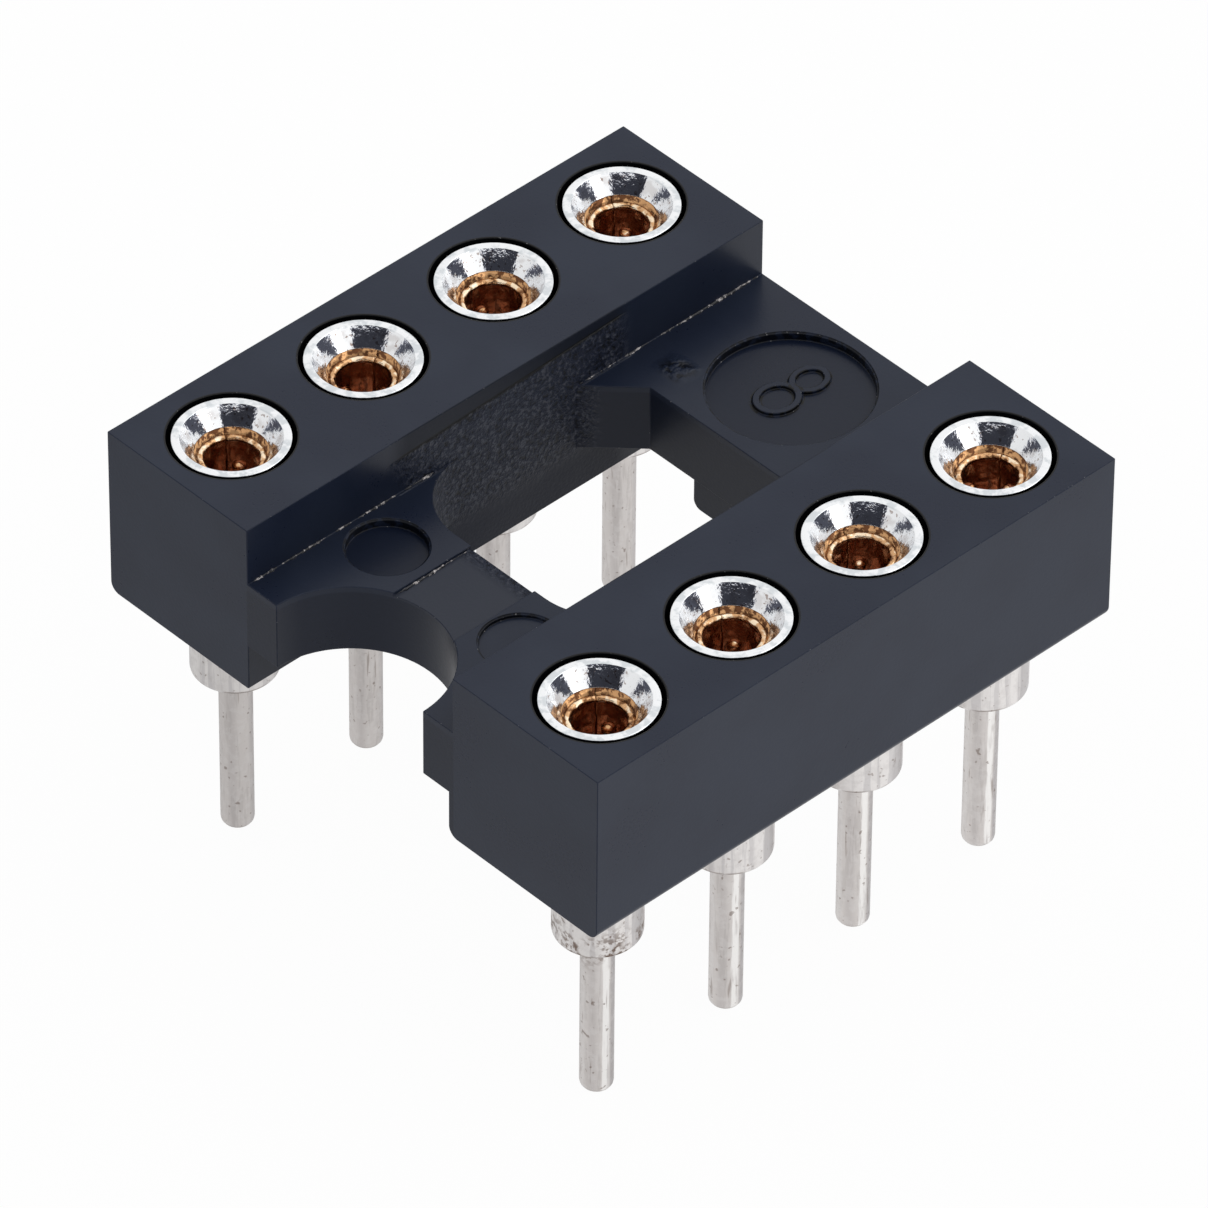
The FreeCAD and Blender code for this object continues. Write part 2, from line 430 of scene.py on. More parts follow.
        # A rough blemish near the far mark, darkened in patches with painted shade
        smear_and_shade = (abs(x - self.smear_at[0]).ramp(0.36, 0.10) * abs(y - self.smear_at[1]).ramp(0.30, 0.10)
                 * z.ramp(BAR_TOP - 0.02, BAR_TOP - 0.01))
        dents = recipe.noise(place, 0.16, 2.0)
        tone = recipe.layers(recipe.mix(clouds.ramp(0.3, 0.7), paint(self.deep), paint(self.pale)), (
            (wall_shade, self.wall_shade_tone),
            (panel, self.matt),
            (eroded * 0.6, self.eroded_tone),
            # Painted shade, darker towards the bottom of the window walls
            (on_wall * z.ramp(5.5, 5.0) * 0.7, self.wall_foot_shade),
            # Painted shade: rings round the holes, lines round the marks, the parting line's shaded wall and the
            # smear
            (hole_gap_shade + lines + wall_line_and_shade + smear_and_shade * dents.ramp(0.52, 0.44) * 0.8, self.shade_black),
            # Pale specks on the edges: part wear, part painted glints
            (edge * specks * 0.9, self.wear_and_glint),
            (eroded * pits.ramp(0.52, 0.64) * 0.60, self.fibre),
            # Painted shade in the pits of the eroded walls
            (eroded * pits.ramp(0.46, 0.36) * 0.8, self.shade_black)))
        gloss = (self.roughness + (fine - 0.5) * 0.10 + (clouds - 0.5) * 0.16 + rail_wall * 0.22
                 + edge * 0.20 + panel * 0.10)
        height = (fine * self.grain_depth + pits * eroded * self.pit_depth + on_wall * fine * self.wall_grain_depth
                  + smear_and_shade * dents * self.smear_depth)
        recipe.dress(tone, gloss, height, {"Specular IOR Level": self.specular})
        return made


@dataclass(frozen=True)
class MouldFlash:
    """Thin feathered plastic along a parting line, pale in specks: painted glints, partly stress-whitening."""

    slot: str = "black_moulding"
    dark: Colour = (0.03, 0.03, 0.035)
    glint_and_whitening: Colour = (0.62, 0.58, 0.57)
    roughness: float = 0.35
    specular: float = 0.4

    def material(self) -> bpy.types.Material:
        """Builds the material: dark plastic with pale broken stretches of painted glint and stress-whitening.

        Returns:
            The material.
        """
        recipe, made = Recipe.material("mould_flash")
        # Pale broken stretches: painted glints along the flash, partly stress-whitening
        broken = recipe.noise(recipe.place(), 0.10, 2.0).ramp(0.50, 0.64)
        tone = recipe.mix(broken, paint(self.dark), paint(self.glint_and_whitening))
        recipe.dress(tone, self.roughness, broken * 0.01, {"Specular IOR Level": self.specular})
        return made


@dataclass(frozen=True)
class TinPlate:
    """Tin plating over turned brass: bright in the funnel, duller and stained on the barrel and tail, with painted
    stripes of light and shade and painted shade under the shoulder and the tip.
    """

    slot: str = "tinned_sleeve"
    bright: Colour = (0.90, 0.91, 0.925)
    barrel: Colour = (0.86, 0.83, 0.815)
    dull: Colour = (0.70, 0.66, 0.64)
    streaked: Colour = (0.44, 0.41, 0.395)
    shaded: Colour = (0.42, 0.39, 0.39)
    side_shade_tone: Colour = (0.36, 0.34, 0.35)
    facet_shade_tone: Colour = (0.50, 0.48, 0.49)
    lit: Colour = (0.86, 0.84, 0.83)
    glint: Colour = (0.99, 0.97, 0.95)
    rippled: Colour = (0.55, 0.52, 0.51)
    stain_and_shade: Colour = (0.20, 0.14, 0.11)
    vein: Colour = (0.34, 0.27, 0.24)
    rim_tone: Colour = (0.56, 0.60, 0.63)
    head_z: float = 6.60
    stripe_azimuth: float = 372.0
    stripe_waver: float = 24.0
    facet_shade_shift: Point = (9.0, 31.0)

    def material(self) -> bpy.types.Material:
        """Builds the material: turning rings, plating ripples, long streaks on the tail, brown specks, and painted
        highlights and shade.

        Returns:
            The material.
        """
        recipe, made = Recipe.material("tinned_sleeve")
        here = recipe.world_place()
        here_x, here_y, _ = recipe.split(here)
        x, y, z = recipe.split(recipe.place())
        head = z.ramp(self.head_z - 0.6, self.head_z)
        tail = z.ramp(SHOULDER_Z + 0.05, SHOULDER_Z - 0.05)
        below_head = 1 - head
        barrel = below_head * (1 - tail)
        ripple = recipe.noise(here, 0.14, 3.0, 0.6)
        streak_place = recipe.stretched(here, (1.0, 1.0, 0.10))
        streaks = recipe.noise(streak_place, 0.09, 3.0, 0.6)
        rings = recipe.stripes(distance(x, y) + z, 60.0)
        # Painted upright stripes of light and shade round the barrel and tail: highlights, lit flanks and a shaded
        # band, strongest on the +X rail, shaded bands all round and shaded facets
        around = y.angle_from(x) * (180 / math.pi) + self.stripe_azimuth + (streaks - 0.5) * self.stripe_waver
        front_rail = here_x.ramp(-2.0, 2.0)
        shine = around.zigzag(90).ramp(15, 9) * front_rail
        side_shade_band = (around - 31).zigzag(90).ramp(17, 8) * (front_rail * 0.4 + 0.2)
        flank = around.zigzag(45).ramp(20, 6)
        shade = around.zigzag(45).ramp(20, 42)
        facet_shade = recipe.stripes(around + here_x * self.facet_shade_shift[0] + here_y * self.facet_shade_shift[1], 0.06)
        # Stains, most of all above the shoulder of contact 1
        worst = here_x.ramp(2.6, 3.0) * here_y.ramp(-2.4, -2.8)
        near_shoulder = abs(z - (SHOULDER_Z + 0.02)).ramp(0.75, 0.10)
        clumps = recipe.noise(here, 0.30, 2.0).ramp(0.34, 0.56)
        blots = clumps * recipe.noise(here, 0.095, 2.0, 0.6).ramp(0.44, 0.60)
        flecks = recipe.noise(here, 0.085, 1.0).ramp(0.66, 0.76) * 0.6
        spots = below_head * (near_shoulder * worst * blots + flecks)
        scores = tail * recipe.noise(streak_place, 0.065, 1.0).ramp(0.66, 0.76) * 0.5
        # Painted shade, in patches, under the shoulder's rounding and at the bottom of the tip
        ends = abs(z - SHOULDER_Z).ramp(0.085, 0.035) + z.ramp(0.09, 0.02) * 0.8
        under = ends * recipe.noise(here, 0.3, 2.0).ramp(0.36, 0.52)
        specks = head * z.ramp(RIM_Z - 0.02, RIM_Z - 0.04) * recipe.noise(here, 0.055, 1.0).ramp(0.63, 0.70)
        tarnish = head * z.ramp(RIM_Z - 0.02, RIM_Z - 0.06) * recipe.noise(here, 0.24, 2.0).ramp(0.50, 0.64)
        dulled = head * z.ramp(RIM_Z - 0.03, RIM_Z - 0.01) * recipe.noise(here, 0.20, 2.0, 0.6).ramp(0.44, 0.62)
        tone = recipe.layers(recipe.mix(tail, paint(self.barrel), paint(self.dull)), (
            (head, self.bright),
            (tail * streaks.ramp(0.50, 0.40) * 0.30, self.streaked),
            # Painted shade bands and shaded facets, lit flanks with lighter ripples, and painted glints
            (below_head * shade * (tail * 0.10 + 0.20), self.shaded),
            (below_head * side_shade_band, self.side_shade_tone),
            (barrel * facet_shade.ramp(0.48, 0.62) * 0.45, self.facet_shade_tone),
            (tail * (flank * front_rail * 0.25 + ripple.ramp(0.45, 0.62) * 0.20), self.lit),
            (tail * shine * streaks.ramp(0.30, 0.50), self.glint),
            (barrel * ripple.ramp(0.46, 0.62) * 0.22, self.rippled),
            # Stains, flecks and scores, and the painted shade under the shoulder and the tip
            (spots * 0.95 + scores + under * 0.85, self.stain_and_shade),
            (specks * 0.75 + tarnish * 0.28, self.vein),
            (dulled * 0.65, self.rim_tone)))
        gloss = 0.26 - head * 0.20 + ripple * (0.10 - head * 0.06) + streaks * tail * 0.08 + spots * 0.2
        height = ripple * (0.009 - head * 0.0015 - tail * 0.005) + rings * 0.0002 + streaks * tail * 0.004
        recipe.dress(tone, gloss, height, {"Metallic": 1.0})
        return made


@dataclass(frozen=True)
class GoldPlate:
    """Gold plating on the spring clip: warm, grainy where the collar was formed."""

    slot: str = "gilded_clip"
    fresh: Colour = (0.98, 0.80, 0.58)
    tan: Colour = (0.66, 0.38, 0.19)
    brown: Colour = (0.16, 0.065, 0.025)
    inside_shade_tone: Colour = (0.52, 0.29, 0.19)
    band_pale: Colour = (0.56, 0.31, 0.145)
    band_shade: Colour = (0.13, 0.055, 0.025)
    flange_radius: float = 0.508
    bead_foot: float = 6.30

    def material(self) -> bpy.types.Material:
        """Builds the material: warm gold with brown grain and small dents, with painted shade inside the mouth and
        on the flange band.

        Returns:
            The material.
        """
        recipe, made = Recipe.material("gilded_clip")
        here = recipe.world_place()
        grain = recipe.noise(here, 0.05, 3.0, 0.6)
        dents = recipe.noise(here, 0.20, 1.0, 0.5)
        patches = recipe.noise(here, 0.17, 2.0, 0.55)
        band_blotches = recipe.noise(here, 0.10, 2.0, 0.6)
        z = recipe.split(here)[2]
        x, y, _ = recipe.split(recipe.place())
        radius = distance(x, y)
        proud = radius.ramp(MOUTH - 0.015, MOUTH - 0.035) * z.ramp(self.bead_foot - 0.02, self.bead_foot + 0.02)
        flange = (radius.ramp(self.flange_radius - 0.005, self.flange_radius + 0.005)
                  * z.ramp(LIP_Z - 0.01, LIP_Z + 0.02))
        # Painted shade inside the mouth below the lip, thinned in patches and left off the beads
        inside = z.ramp(LIP_Z + 0.020, LIP_Z - 0.015) * (1 - proud)
        # Painted shade on the flange band, blotched orange and dark brown
        band = recipe.mix(band_blotches.ramp(0.44, 0.56), paint(self.band_pale), paint(self.band_shade))
        tone = recipe.mix(patches.ramp(0.42, 0.52), paint(self.fresh), paint(self.tan))
        tone = recipe.layers(tone, [((grain * 0.35 + patches * 0.65).ramp(0.54, 0.61) * 0.9, self.brown)])
        tone = recipe.mix(flange, tone, band)
        tone = recipe.layers(tone, [(inside * (1.0 - patches.ramp(0.62, 0.72) * 0.6), self.inside_shade_tone)])
        height = dents * (0.060 - inside * 0.035) + grain * 0.003
        recipe.dress(tone, 0.14 + grain * 0.18, height, {"Metallic": 1.0})
        return made


# Mesh building


def rounded(corners: Sequence[tuple[float, float, float]], steps: int = 8) -> list[Point]:
    """Turns corners (a, b, radius) into an outline whose corners are arcs.

    Args:
        corners: the outline's corners in order; a radius of 0 keeps a corner sharp.
        steps: chords in each arc.

    Returns:
        The outline's points.
    """
    points = []
    for index, (a, b, radius) in enumerate(corners):
        corner = Vector((a, b))
        if radius <= 0:
            points.append((a, b))
            continue
        back = (Vector(corners[index - 1][:2]) - corner).normalized()
        ahead = (Vector(corners[(index + 1) % len(corners)][:2]) - corner).normalized()
        half = back.angle(ahead) / 2
        centre = corner + (back + ahead).normalized() * (radius / math.sin(half))
        start = corner + back * (radius / math.tan(half)) - centre
        end = corner + ahead * (radius / math.tan(half)) - centre
        turn = start.angle_signed(end)
        for step in range(steps + 1):
            points.append(tuple(centre + Matrix.Rotation(-turn * step / steps, 2) @ start))
    return points


def arc(centre: Point, radius: float, start: float, end: float, steps: int) -> list[Point]:
    """Gives points on an arc, from one angle in degrees to another."""
    angles = [math.radians(start + (end - start) * step / steps) for step in range(steps + 1)]
    return [(centre[0] + radius * math.cos(a), centre[1] + radius * math.sin(a)) for a in angles]


class Form:
    """Closed shells in one mesh, in millimetres."""

    def __init__(self) -> None:
        """Starts empty."""
        self.bm = bmesh.new()

    def prism(self, outline: Profile, plane: Plane, start: float, end: float) -> "Form":
        """Adds a prism.

        Args:
            outline: its outline's points.
            plane: the plane that they lie on.
            start: where it starts along the plane's normal.
            end: where it ends.

        Returns:
            This form.
        """
        low, high = ([self.bm.verts.new(plane.place(a, b) + plane.normal() * level) for a, b in outline]
                     for level in (start, end))
        self.stitch([low, high], closed=False)
        self.bm.faces.new(low)
        self.bm.faces.new(high)
        return self

    def lathe(self, profile: Profile, segments: int, centre: Point = (0.0, 0.0)) -> "Form":
        """Turns a half section about a vertical axis.

        Args:
            profile: points (radius, height); it is open where it starts and ends on the axis, else closed.
            segments: sides of each ring.
            centre: the axis's place.

        Returns:
            This form.
        """
        rings = []
        for radius, height in profile:
            if radius < TINY:
                rings.append([self.bm.verts.new((centre[0], centre[1], height))])
                continue
            around = arc(centre, radius, 0, 360, segments)[:-1]
            rings.append([self.bm.verts.new((x, y, height)) for x, y in around])
        self.stitch(rings, closed=profile[0][0] >= TINY)
        return self

    def sector(self, profile: Profile, middle: float, spread: float, gap: float, steps: int) -> "Form":
        """Turns a closed section through part of a circle, with flat ends that leave a parallel slot.

        Args:
            profile: closed section points (radius, height).
            middle: the sector's middle angle in radians.
            spread: the angle that the sector would fill with no slot, in radians.
            gap: the slot's width.
            steps: chords round the sector.

        Returns:
            This form.
        """
        rows = []
        for radius, height in profile:
            half = spread / 2 - math.asin(gap / 2 / radius)
            angles = [middle + half * (2 * step / steps - 1) for step in range(steps + 1)]
            rows.append([self.bm.verts.new((radius * math.cos(a), radius * math.sin(a), height)) for a in angles])
        for row, following in zip(rows, rows[1:] + rows[:1]):
            for step in range(steps):
                self.bm.faces.new((row[step], row[step + 1], following[step + 1], following[step]))
        self.bm.faces.new([row[0] for row in rows])
        self.bm.faces.new([row[-1] for row in rows])
        return self

    def stitch(self, rings: list[list[bmesh.types.BMVert]], closed: bool) -> None:
        """Joins rings of vertices by faces.

        Args:
            rings: the rings in order; a ring of one vertex is a pole.
            closed: whether the last ring is joined to the first.
        """
        pairs = list(zip(rings, rings[1:])) + ([(rings[-1], rings[0])] if closed else [])
        for low, high in pairs:
            count = max(len(low), len(high))
            for step in range(count):
                corners = [low[step % len(low)], low[(step + 1) % len(low)],
                           high[(step + 1) % len(high)], high[step % len(high)]]
                distinct = list(dict.fromkeys(corners))
                if len(distinct) > 2:
                    self.bm.faces.new(distinct)

    def object(self, name: str) -> bpy.types.Object:
        """Ends the form.

        Args:
            name: the object's name.

        Returns:
            The object, still in millimetres.
        """
        bmesh.ops.recalc_face_normals(self.bm, faces=self.bm.faces)
        mesh = bpy.data.meshes.new(name)
        self.bm.to_mesh(mesh)
        self.bm.free()
        made = bpy.data.objects.new(name, mesh)
        bpy.context.scene.collection.objects.link(made)
        return made


def settle(made: bpy.types.Object) -> bpy.types.Object:
    """Turns an object's modifiers into its mesh.

    Args:
        made: the object.

    Returns:
        The same object.
    """
    graph = bpy.context.evaluated_depsgraph_get()
    mesh = bpy.data.meshes.new_from_object(made.evaluated_get(graph))
    made.modifiers.clear()
    old, made.data = made.data, mesh
    mesh.name = made.name
    bpy.data.meshes.remove(old)
    return made


def combine(body: bpy.types.Object, tool: bpy.types.Object, how: Joining) -> bpy.types.Object:
    """Works one closed mesh on another.

    Args:
        body: the object that stays.
        tool: the object that works on it and is then removed.
        how: what it does.

    Returns:
        The body.
    """
    modifier = body.modifiers.new(how.name, "BOOLEAN")
    modifier.operation, modifier.solver, modifier.object = how.value, "EXACT", tool
    settle(body)
    bpy.data.objects.remove(tool)
    return body


def soften(made: bpy.types.Object, width: float, angle: float, centres: Sequence[Point],
           steps: int = 2) -> bpy.types.Object:
    """Rounds the sharper edges, keeps the flats flat and marks the new faces in the attribute "edge".

    Args:
        made: the object, in millimetres.
        width: the rounding's width.
        angle: the least angle in degrees between faces whose edge is rounded.
        centres: middles of its round holes; flat faces are split through them, so that no split grazes a rim.
        steps: chords across a rounding.

    Returns:
        The object.
    """
    mesh = bmesh.new()
    mesh.from_mesh(made.data)
    bmesh.ops.remove_doubles(mesh, verts=mesh.verts, dist=WELD)
    for axis, normal in ((0, (1, 0, 0)), (1, (0, 1, 0))):
        for level in sorted({round(centre[axis], 4) for centre in centres}):
            cut = bmesh.ops.bisect_plane(mesh, geom=mesh.verts[:] + mesh.edges[:] + mesh.faces[:], dist=1e-5,
                                         plane_co=Vector(normal) * level, plane_no=normal)
            for piece in cut["geom_cut"]:
                if isinstance(piece, bmesh.types.BMEdge):
                    piece.seam = True
    bmesh.ops.dissolve_limit(mesh, angle_limit=math.radians(FLAT_ANGLE), verts=mesh.verts, edges=mesh.edges,
                             delimit={"SEAM"})
    mesh.to_mesh(made.data)
    mesh.free()
    made.data.materials.clear()
    for name in ("face", "rounding"):
        made.data.materials.append(bpy.data.materials.new(name))
    bevel = made.modifiers.new("rounding", "BEVEL")
    bevel.width, bevel.segments, bevel.limit_method = width, steps, "ANGLE"
    bevel.angle_limit, bevel.use_clamp_overlap, bevel.material = math.radians(angle), False, 1
    bevel.loop_slide = False
    settle(made)
    mesh = bmesh.new()
    mesh.from_mesh(made.data)
    for border in mesh.edges:
        border.smooth = len({face.material_index for face in border.link_faces}) == 1
    mesh.to_mesh(made.data)
    mesh.free()
    edge = made.data.attributes.new("edge", "FLOAT", "FACE")
    edge.data.foreach_set("value", [float(face.material_index == 1) for face in made.data.polygons])
    for face in made.data.polygons:
        face.material_index = 0
    made.data.materials.clear()
    return made


def finish_piece(made: bpy.types.Object, material: bpy.types.Material,
                 replaced: str | None = None, at: Point = (0.0, 0.0)) -> bpy.types.Object:
    """Scales a piece to metres, shades it, gives it its material and seats it on the part's body.

    Args:
        made: the object, in millimetres.
        material: its material.
        replaced: the node that it stands for, if any.
        at: where its own origin goes, in millimetres.

    Returns:
        The object.
    """
    made.data.transform(Matrix.Scale(MM, 4))
    made.location = (at[0] * MM, at[1] * MM, 0)
    made.data.shade_smooth()
    weighted = made.modifiers.new("face_normals", "WEIGHTED_NORMAL")
    weighted.mode, weighted.weight, weighted.keep_sharp = "FACE_AREA", 90, True
    made.data.materials.clear()
    made.data.materials.append(material)
    if replaced:
        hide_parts(replaced)
    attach(made, "root")
    log.info("%s: %d faces%s", made.name, len(made.data.polygons), f", for {replaced}" if replaced else "")
    return made


# The part


@dataclass(frozen=True)
class ContactGrid:
    """The eight contacts' places: up the +X rail, then back down the -X rail."""

    pitch: float = PITCH
    row_spacing: float = ROW_SPACING
    per_rail: int = 4

    def places(self) -> list[Point]:
        """Gives each contact's axis.

        Returns:
            The axes' places in plan.
        """
        steps = [(index - (self.per_rail - 1) / 2) * self.pitch for index in range(self.per_rail)]
        half = self.row_spacing / 2
        return [(half, y) for y in steps] + [(-half, y) for y in reversed(steps)]


@dataclass(frozen=True)
class Numeral:
    """Raised outline of the figure 8 in the far ejector mark; its section is in shares of stroke and height."""

    stroke: float = 0.115
    height: float = 0.05
    section: tuple[Point, ...] = ((-0.5, -0.02), (-0.42, 1.0), (0.42, 1.0), (0.5, -0.02))
    segments: int = 64

    def object(self, floor: float) -> bpy.types.Object:
        """Builds the figure from two oval rings.

        Args:
            floor: height of the mark's floor.

        Returns:
            The figure, in millimetres.
        """
        body = None
        for x, y, across, along in FIGURE_RINGS:
            form = Form()
            loops = []
            for swell, rise in self.section:
                out, z = swell * self.stroke, floor + rise * self.height
                loops.append([form.bm.verts.new((x + a * (across + out), y + b * (along + out), z))
                              for a, b in arc((0, 0), 1.0, 0, 360, self.segments)[:-1]])
            form.stitch(loops, closed=True)
            ring = form.object("figure_ring")
            body = ring if body is None else combine(body, ring, Joining.UNITE)
        return body


@dataclass
class Housing:
    """The moulding: two rails, two low crossbars with a window between them, marks and a stub.

    A foot is its rail's side, the step in its inner wall and the rounding of its lower inner edge.
    """

    grid: ContactGrid = field(default_factory=ContactGrid)
    half_width: float = 5.08
    half_length: float = 5.04
    inner_x: float = WALL_X
    bottom: float = 4.38
    top: float = 7.36
    feet: tuple[tuple[int, float, float], ...] = ((1, 0.08, 0.18), (-1, 0.0, 0.04))
    outer_round: float = 0.17
    bar_bottom: float = 5.19
    bar_top: float = BAR_TOP
    bar_reach: float = 0.3
    near_edge: float = -2.15
    far_edge: float = 2.09
    fillet: float = 1.20
    chamfer: float = 0.75
    notch: float = 1.52
    stub_half_width: float = 0.5
    stub_root: float = 0.1
    stub_drop: float = 0.55
    stub_round: float = 0.15
    stub_ends: Point = (0.04, 0.94)
    seat_radius: float = SEAT_RADIUS
    seat_bottom: float = 6.70
    way_radius: float = 0.73
    step_width: float = 0.022
    step_depth: float = 0.018
    panel_sides: Point = (-0.60, 0.72)
    panel_ends: Point = (-6.0, -1.5)
    panel_depth: float = 0.06
    over: float = 0.5
    segments: int = 96
    edge_width: float = 0.012
    edge_angle: float = 28.0

    def rails(self) -> bpy.types.Object:
        """Builds both rails, whose lower edges are rounded.

        Returns:
            The rails, in millimetres.
        """
        form = Form()
        for side, foot_step, foot_round in self.feet:
            inner, foot, outer = side * self.inner_x, side * (self.inner_x - foot_step), side * self.half_width
            corners = [(inner, self.top, 0)]
            if foot_step:
                corners += [(inner, self.bar_bottom, 0), (foot, self.bar_bottom, 0)]
            corners += [(foot, self.bottom, foot_round), (outer, self.bottom, self.outer_round),
                        (outer, self.top, 0)]
            form.prism(rounded(corners), Plane.SECTION, -self.half_length, self.half_length)
        return form.object("housing_moulding")

    def crossbars(self) -> bpy.types.Object:
        """Builds both crossbars, which reach a little into the rails, and the stub under the far one.

        Returns:
            The crossbars, in millimetres.
        """
        x, y, reach = self.inner_x, self.half_length, self.inner_x + self.bar_reach
        curve, cut = self.near_edge + self.fillet, self.far_edge - self.chamfer
        near = [(-reach, -y), *arc((0, -y), self.notch, 180, 0, 48), (reach, -y), (reach, curve),
                *arc((x - self.fillet, curve), self.fillet, 0, -90, 20),
                *arc((self.fillet - x, curve), self.fillet, -90, -180, 20), (-reach, curve)]
        far = [(-reach, y), (-reach, cut), (-x, cut), (self.chamfer - x, self.far_edge),
               (x - self.chamfer, self.far_edge), (x, cut), (reach, cut), (reach, y)]
        half, root, end = self.stub_half_width, self.bar_bottom + self.stub_root, self.bar_bottom - self.stub_drop
        stub = rounded([(-half, root, 0), (-half, end, self.stub_round), (half, end, self.stub_round),
                        (half, root, 0)])
        bars = Form()
        for outline in (near, far):
            bars.prism(outline, Plane.PLAN, self.bar_bottom, self.bar_top)
        start, stop = (self.far_edge + along for along in self.stub_ends)
        return combine(bars.object("crossbars"), Form().prism(stub, Plane.SECTION, start, stop).object("stub"),
                       Joining.UNITE)

    def hollows(self) -> bpy.types.Object:
        """Builds the shapes to carve: stepped contact holes, the sunk panel and the ejector marks.

        Returns:
            The shapes, in millimetres.
        """
        form = Form()
        below, above, over_bar = self.bottom - self.over, self.top + self.over, self.bar_top + self.over
        for place in self.grid.places():
            form.lathe([(0, below), (self.way_radius, below), (self.way_radius, self.seat_bottom),
                        (self.seat_radius, self.seat_bottom), (self.seat_radius, above), (0, above)],
                       self.segments, place)
        for x, y, radius, depth in EJECTOR_MARKS:
            floor, wide, step = self.bar_top - depth, radius + self.step_width, self.bar_top - self.step_depth
            form.lathe([(0, floor), (radius, floor), (radius, step), (wide, step), (wide, over_bar),
                        (0, over_bar)], self.segments, (x, y))
        (left, right), (near, far) = self.panel_sides, self.panel_ends
        form.prism([(left, near), (right, near), (right, far), (left, far)], Plane.PLAN,
                   self.bar_top - self.panel_depth, over_bar)
        return form.object("hollows")

    def envelope(self) -> bpy.types.Object:
        """Builds the side outline that rounds the far lower edge.

        Returns:
            The outline's prism, in millimetres.
        """
        near, above, half = -self.half_length - 1, self.top + 1, self.half_width + 1
        corners = [(near, above, 0), (near, self.bottom, 0), (self.half_length, self.bottom, self.outer_round),
                   (self.half_length, above, 0)]
        return Form().prism(rounded(corners), Plane.SIDE, -half, half).object("envelope")

    def build(self, material: bpy.types.Material, slot: str) -> bpy.types.Object:
        """Builds the moulding and seats it in place of its node.

        Args:
            material: its material.
            slot: the record's material slot; not used.

        Returns:
            The object.
        """
        body = combine(self.rails(), self.crossbars(), Joining.UNITE)
        body = combine(body, self.envelope(), Joining.TRIM)
        body = combine(body, self.hollows(), Joining.CARVE)
        body = combine(body, Numeral().object(self.bar_top - EJECTOR_MARKS[-1][3]), Joining.UNITE)
        centres = self.grid.places() + [(x, y) for x, y, _, _ in EJECTOR_MARKS]
        soften(body, self.edge_width, self.edge_angle, centres)
        return finish_piece(body, material, "housing")


@dataclass
class FlashLine:
    """Feathered ridge of plastic in a corner between a rail's wall and a crossbar's top."""

    name: str
    side: int
    start: float
    end: float
    seed: int
    inner_x: float = WALL_X
    level: float = BAR_TOP
    most: float = 0.045
    least_share: float = 0.12
    jump: float = 0.28
    step: float = 0.02
    fade_steps: int = 6
    sink: float = 0.01

    def build(self, material: bpy.types.Material, slot: str) -> bpy.types.Object:
        """Builds the ridge as a ragged bar that fades out at both ends.

        Args:
            material: its material.
            slot: the record's material slot; not used.

        Returns:
            The object.
        """
        chance = random.Random(self.seed)
        form = Form()
        rings = []
        count = int((self.end - self.start) / self.step)
        wall, foot = self.side * self.inner_x, self.level - self.sink
        root = wall + self.side * self.sink
        swell = 0.5
        for index in range(count + 1):
            swell = min(1.0, max(self.least_share, swell + chance.uniform(-self.jump, self.jump)))
            fade = min(1.0, index / self.fade_steps, (count - index) / self.fade_steps) + 0.05
            size = self.most * swell * min(fade, 1.0)
            y = self.start + self.step * index
            section = ((root, foot), (wall - self.side * size, foot),
                       (wall - self.side * size * 0.55, self.level + size * 0.8), (root, self.level + size * 0.5))
            rings.append([form.bm.verts.new((x, y, z)) for x, z in section])
        form.stitch(rings, closed=False)
        form.bm.faces.new(rings[0])
        form.bm.faces.new(rings[-1])
        return finish_piece(form.object(self.name), material)


@dataclass
class Sleeve:
    """Turned contact sleeve: funnelled head, barbed barrel and solder tail, all edges slightly broken."""

    bore: float = 0.56
    barrel: float = 0.66
    head: float = 0.87
    rim: float = RIM_Z
    rim_width: float = 0.125
    throat: float = 0.545
    throat_z: float = 7.07
    throat_wall: float = 0.03
    head_bottom: float = 6.70
    barb: float = 0.72
    barb_bottom: float = 5.38
    barb_top: float = 5.70
    shoulder: float = SHOULDER_Z
    shoulder_round: float = 0.085
    tail: float = 0.25
    tip_round: float = 0.12
    bore_end: float = 4.60
    drill_half_angle: float = 59.0
    edge: float = 0.02
    fine_edge: float = 0.01
    segments: int = 128

    def profile(self) -> list[Point]:
        """Gives the half section, from the bore's bottom up over the head and down to the tail's tip.

        Returns:
            Points (radius, height), with arcs at the broken edges.
        """
        throat_foot = self.throat_z - self.throat_wall
        corners = [
            (0.0, self.bore_end - self.bore / math.tan(math.radians(self.drill_half_angle)), 0.0),
            (self.bore, self.bore_end, self.edge), (self.bore, throat_foot, 0),
            (self.throat, self.throat_z - self.throat_wall * 0.5, 0), (self.throat, self.throat_z, 0.006),
            (self.head - self.rim_width, self.rim, 0.016), (self.head, self.rim, self.edge),
            (self.head, self.head_bottom, self.edge), (self.barrel, self.head_bottom, self.fine_edge),
            (self.barrel, self.barb_top, self.fine_edge), (self.barb, self.barb_top, self.fine_edge),
            (self.barrel, self.barb_bottom, self.edge), (self.barrel, self.shoulder, self.shoulder_round),
            (self.tail, self.shoulder, self.edge), (self.tail, 0.0, self.tip_round), (0.0, 0.0, 0.0)]
        return rounded(corners, 4)

    def build(self, number: int, place: Point, material: bpy.types.Material, slot: str) -> bpy.types.Object:
        """Builds one sleeve and seats it in place of its node."""
        made = Form().lathe(self.profile(), self.segments).object(f"sleeve_{number}")
        return finish_piece(made, material, f"contact_sleeve_{number}", place)


